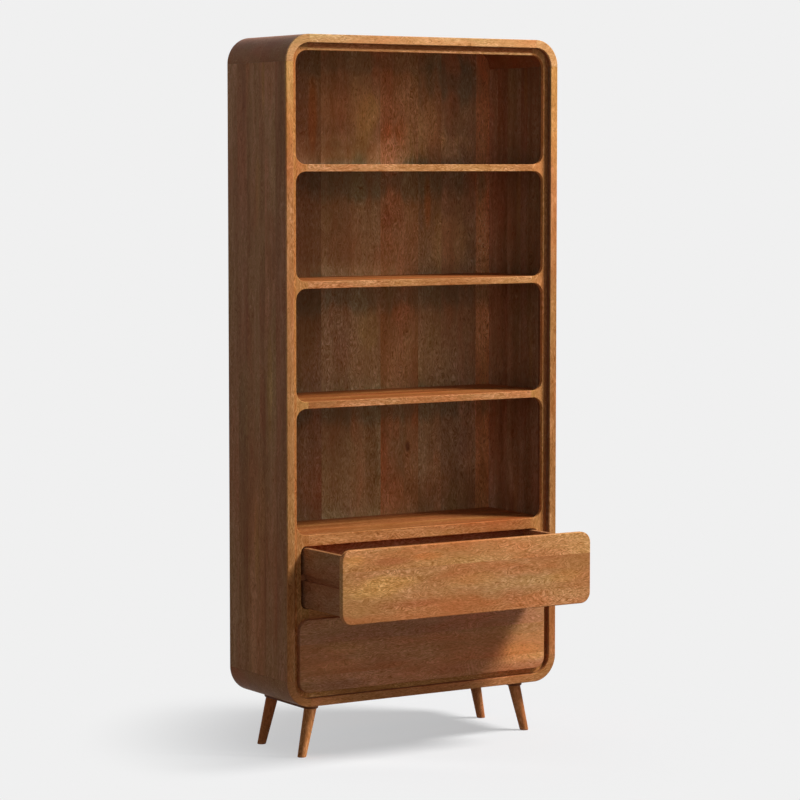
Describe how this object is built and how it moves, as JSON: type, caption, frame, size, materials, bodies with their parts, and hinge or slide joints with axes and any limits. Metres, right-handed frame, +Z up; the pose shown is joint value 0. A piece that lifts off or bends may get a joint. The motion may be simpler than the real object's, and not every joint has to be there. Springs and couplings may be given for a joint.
{
  "type": "bookcase with drawers",
  "caption": "Tall wooden bookcase with open shelves over sliding drawers, in a round-cornered case on splayed tapered legs; the upper drawer stands part open.",
  "frame": {"origin": "on the floor, midway across the width and midway between the back of the case and the front of the part-open upper drawer", "axes": "+Z up, +X to the right as seen from the front, +Y towards the back, so the front faces -Y"},
  "size_m": [0.811, 0.498, 1.8],
  "materials": {
    "case_wood": "brown hardwood under a satin oil finish, with lengthwise grain",
    "frame_wood": "brown hardwood under a satin oil finish",
    "shelf_wood": "brown hardwood under a satin oil finish, with grain along the shelf",
    "back_wood": "upright glued hardwood planks of uneven brown, satin",
    "drawer_front_wood": "golden brown hardwood planks with level grain, satin",
    "drawer_box_wood": "brown hardwood, satin",
    "leg_wood": "turned brown hardwood, satin",
    "steel": "bare zinc-plated steel"
  },
  "bodies": {
    "case": {"back_panel": "back_wood", "base_rail_left": "leg_wood", "base_rail_right": "leg_wood", "bottom_board": "case_wood", "corner_bottom_left": "case_wood", "corner_bottom_right": "case_wood", "corner_top_left": "case_wood", "corner_top_right": "case_wood", "leg_bolt_front_left": "steel", "leg_bolt_front_right": "steel", "leg_bolt_rear_left": "steel", "leg_bolt_rear_right": "steel", "leg_front_left": "leg_wood", "leg_front_right": "leg_wood", "leg_rear_left": "leg_wood", "leg_rear_right": "leg_wood", "rail_between_drawers": "frame_wood", "rail_bottom": "frame_wood", "rail_top": "frame_wood", "runner_lower_left": "drawer_box_wood", "runner_lower_right": "drawer_box_wood", "runner_screw_lower_left_front": "steel", "runner_screw_lower_left_rear": "steel", "runner_screw_lower_right_front": "steel", "runner_screw_lower_right_rear": "steel", "runner_screw_upper_left_front": "steel", "runner_screw_upper_left_rear": "steel", "runner_screw_upper_right_front": "steel", "runner_screw_upper_right_rear": "steel", "runner_spacer_left": "drawer_box_wood", "runner_spacer_right": "drawer_box_wood", "runner_upper_left": "drawer_box_wood", "runner_upper_right": "drawer_box_wood", "shelf_1": "shelf_wood", "shelf_2": "shelf_wood", "shelf_3": "shelf_wood", "shelf_4": "shelf_wood", "side_left": "case_wood", "side_right": "case_wood", "stile_left": "frame_wood", "stile_right": "frame_wood", "top_board": "case_wood"},
    "drawer_upper": {"drawer_upper_back": "drawer_box_wood", "drawer_upper_bottom": "drawer_box_wood", "drawer_upper_front": "drawer_front_wood", "drawer_upper_inner_front": "drawer_box_wood", "drawer_upper_screw_left": "steel", "drawer_upper_screw_right": "steel", "drawer_upper_side_left": "drawer_box_wood", "drawer_upper_side_right": "drawer_box_wood"},
    "drawer_lower": {"drawer_lower_back": "drawer_box_wood", "drawer_lower_bottom": "drawer_box_wood", "drawer_lower_front": "drawer_front_wood", "drawer_lower_inner_front": "drawer_box_wood", "drawer_lower_screw_left": "steel", "drawer_lower_screw_right": "steel", "drawer_lower_side_left": "drawer_box_wood", "drawer_lower_side_right": "drawer_box_wood"}
  },
  "joints": [
    {"name": "drawer_upper_slide", "type": "slide", "parent": "case", "child": "drawer_upper", "axis": [0, -1, 0], "range_m": [-0.203, 0.012]},
    {"name": "drawer_lower_slide", "type": "slide", "parent": "case", "child": "drawer_lower", "axis": [0, -1, 0], "range_m": [0, 0.215]}
  ]
}
